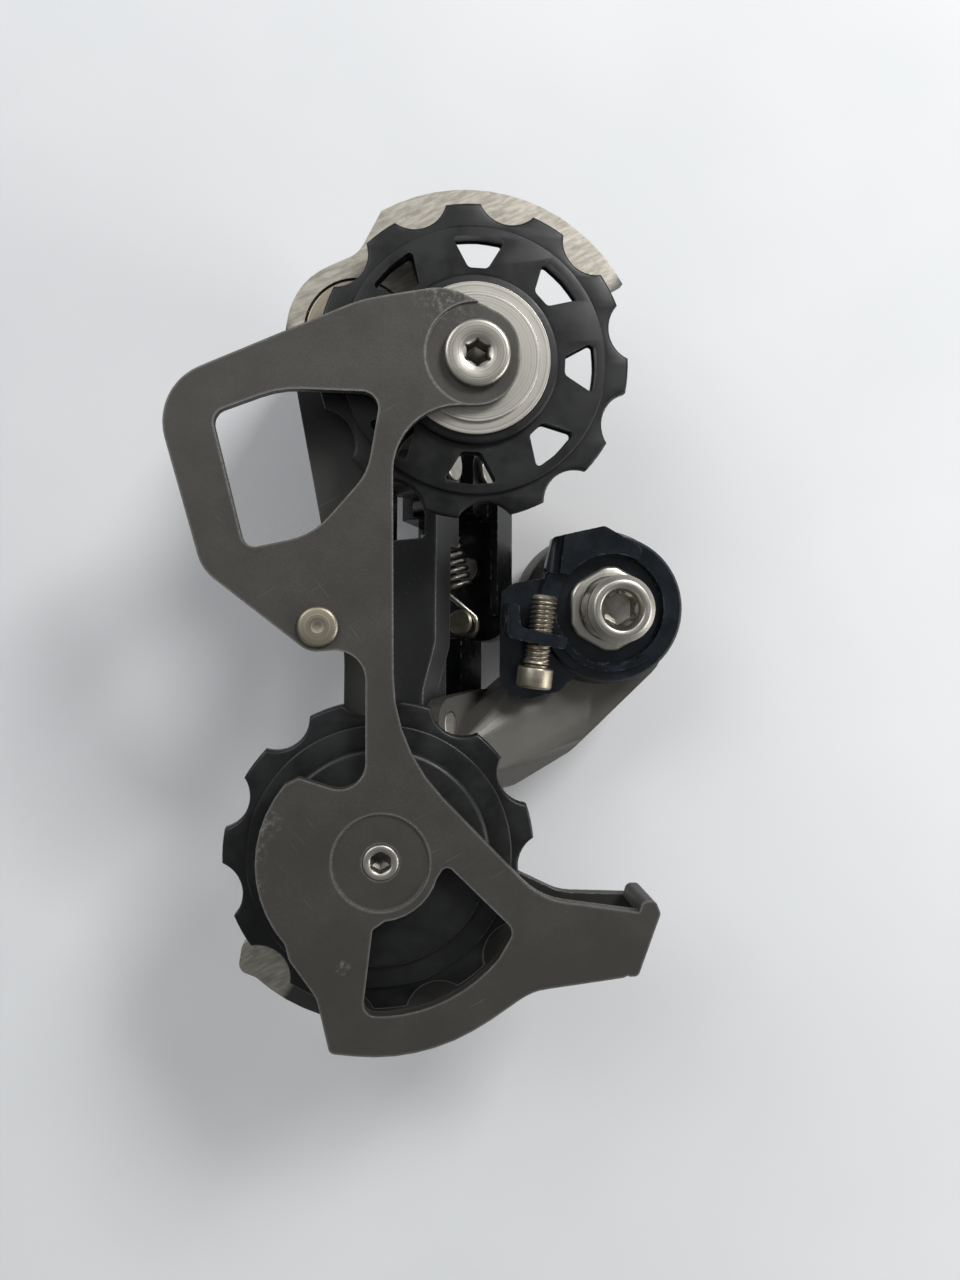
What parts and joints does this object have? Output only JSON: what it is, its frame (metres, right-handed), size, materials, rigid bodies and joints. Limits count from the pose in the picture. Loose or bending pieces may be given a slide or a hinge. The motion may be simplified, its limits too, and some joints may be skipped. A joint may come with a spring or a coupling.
{
  "type": "rear bicycle derailleur",
  "caption": "Rear derailleur with a slanted parallelogram, sprung knuckles, a two-plate chain cage and toothed guide and tension pulleys.",
  "frame": {"origin": "on the hanger bolt's axis, at the seat that bears on the dropout hanger's outer face", "axes": "+Z along the hanger bolt towards the wheel, +Y along the cage from the tension pulley to the guide pulley, +X away from the cage's window"},
  "size_m": [0.0755, 0.1196, 0.0454],
  "materials": {
    "plate_dark": "dark grey anodised satin, worn at the edges",
    "plate_silver": "bare brushed, scratched",
    "knuckle_grey": "grey painted satin",
    "link_grey": "blue-grey satin",
    "link_black": "near-black gloss with a bare bright edge",
    "stopper_black": "navy-black gloss",
    "bolt_steel": "turned steel, dull silver",
    "screw_steel": "yellowish zinc-plated steel",
    "axle_steel": "tarnished beige steel",
    "cap_steel": "satin pressed steel",
    "spring_steel": "bright spring wire",
    "pulley_resin": "black satin resin",
    "black_plastic": "black moulded plastic",
    "seal_rubber": "black rubber",
    "bush_metal": "plain bearing metal"
  },
  "bodies": {
    "mount": {"hanger_bolt": "bolt_steel", "hanger_washer": "bolt_steel", "stopper_plate": "stopper_black"},
    "b_screw": {"b_tension_screw": "screw_steel"},
    "b_knuckle_body": {"b_knuckle": "knuckle_grey", "b_bushes": "bush_metal", "b_spring": "spring_steel", "b_link_pins": "bolt_steel"},
    "high_screw": {"high_limit_screw": "screw_steel"},
    "low_screw": {"low_limit_screw": "screw_steel"},
    "adjuster": {"barrel_adjuster": "black_plastic"},
    "outer_link_body": {"outer_link": "link_black", "spring_post": "axle_steel", "cable_anchor_bolt": "bolt_steel", "cable_clamp_washer": "bolt_steel", "return_spring": "spring_steel"},
    "inner_link_body": {"inner_link": "link_grey"},
    "p_knuckle_body": {"p_knuckle": "knuckle_grey", "p_bushes": "bush_metal", "p_spring": "spring_steel", "p_link_pins": "bolt_steel", "p_cap": "knuckle_grey", "p_seal": "seal_rubber"},
    "cage": {"plate_axle": "axle_steel", "axle_screw": "bolt_steel", "outer_plate": "plate_silver", "inner_plate": "plate_dark", "cage_stop_pin": "bolt_steel", "chain_guard_pin": "axle_steel", "guide_bolt": "bolt_steel", "guide_sleeve": "bush_metal", "guide_caps": "cap_steel", "tension_bolt": "bolt_steel", "tension_sleeve": "bush_metal", "tension_caps": "cap_steel"},
    "guide_pulley_body": {"guide_pulley": "pulley_resin", "guide_bush": "bush_metal"},
    "tension_pulley_body": {"tension_pulley": "pulley_resin", "tension_bush": "bush_metal"}
  },
  "joints": [
    {"name": "b_knuckle_pivot", "type": "hinge", "parent": "mount", "child": "b_knuckle_body", "pos_m": [0, 0, -0.012], "axis": [0, 0, 1], "range_deg": [-40, 0], "stiffness_Nm_per_rad": 0.6, "springref_deg": 34.38, "deforming": ["b_spring"]},
    {"name": "b_screw_turn", "type": "hinge", "parent": "mount", "child": "b_screw", "pos_m": [-0.0104, 0.002, 0.002], "axis": [-0.1271, -0.9919, 0], "range_deg": [-720, 720]},
    {"name": "outer_link_swing", "type": "hinge", "parent": "b_knuckle_body", "child": "outer_link_body", "pos_m": [-0.02426, -0.01727, -0.01363], "axis": [0.8639, 0.0604, 0.5], "range_deg": [0, 58], "stiffness_Nm_per_rad": 0.5, "springref_deg": -45.84, "deforming": ["return_spring"]},
    {"name": "inner_link_swing", "type": "hinge", "parent": "b_knuckle_body", "child": "inner_link_body", "pos_m": [-0.03074, -0.01773, -0.00237], "axis": [0.8639, 0.0604, 0.5], "range_deg": [0, 58]},
    {"name": "p_knuckle_swing", "type": "hinge", "parent": "outer_link_body", "child": "p_knuckle_body", "pos_m": [-0.02354, 0.02227, -0.01964], "axis": [0.8639, 0.0604, 0.5], "range_deg": [-58, 0]},
    {"name": "cage_pivot", "type": "hinge", "parent": "p_knuckle_body", "child": "cage", "pos_m": [-0.038, 0.039, -0.004], "axis": [0, 0, 1], "range_deg": [-110, 0], "stiffness_Nm_per_rad": 0.15, "springref_deg": 68.75, "deforming": ["p_spring"]},
    {"name": "guide_pulley_spin", "type": "hinge", "parent": "cage", "child": "guide_pulley_body", "pos_m": [-0.022, 0.034, 0.012], "axis": [0, 0, 1], "continuous": true},
    {"name": "tension_pulley_spin", "type": "hinge", "parent": "cage", "child": "tension_pulley_body", "pos_m": [-0.035, -0.034, 0.012], "axis": [0, 0, 1], "continuous": true},
    {"name": "high_limit_turn", "type": "hinge", "parent": "b_knuckle_body", "child": "high_screw", "pos_m": [-0.02966, -0.02016, -0.00935], "axis": [0.0698, -0.9976, 0], "range_deg": [-720, 720]},
    {"name": "low_limit_turn", "type": "hinge", "parent": "b_knuckle_body", "child": "low_screw", "pos_m": [-0.02499, -0.01983, -0.00665], "axis": [0.0698, -0.9976, 0], "range_deg": [-720, 720]},
    {"name": "adjuster_turn", "type": "hinge", "parent": "b_knuckle_body", "child": "adjuster", "pos_m": [-0.0195, -0.0335, -0.012], "axis": [0, -1, 0], "range_deg": [-720, 720]}
  ],
  "couplings": [
    {"joint": "inner_link_swing", "follows": "outer_link_swing", "ratio": 1},
    {"joint": "p_knuckle_swing", "follows": "outer_link_swing", "ratio": -1}
  ]
}
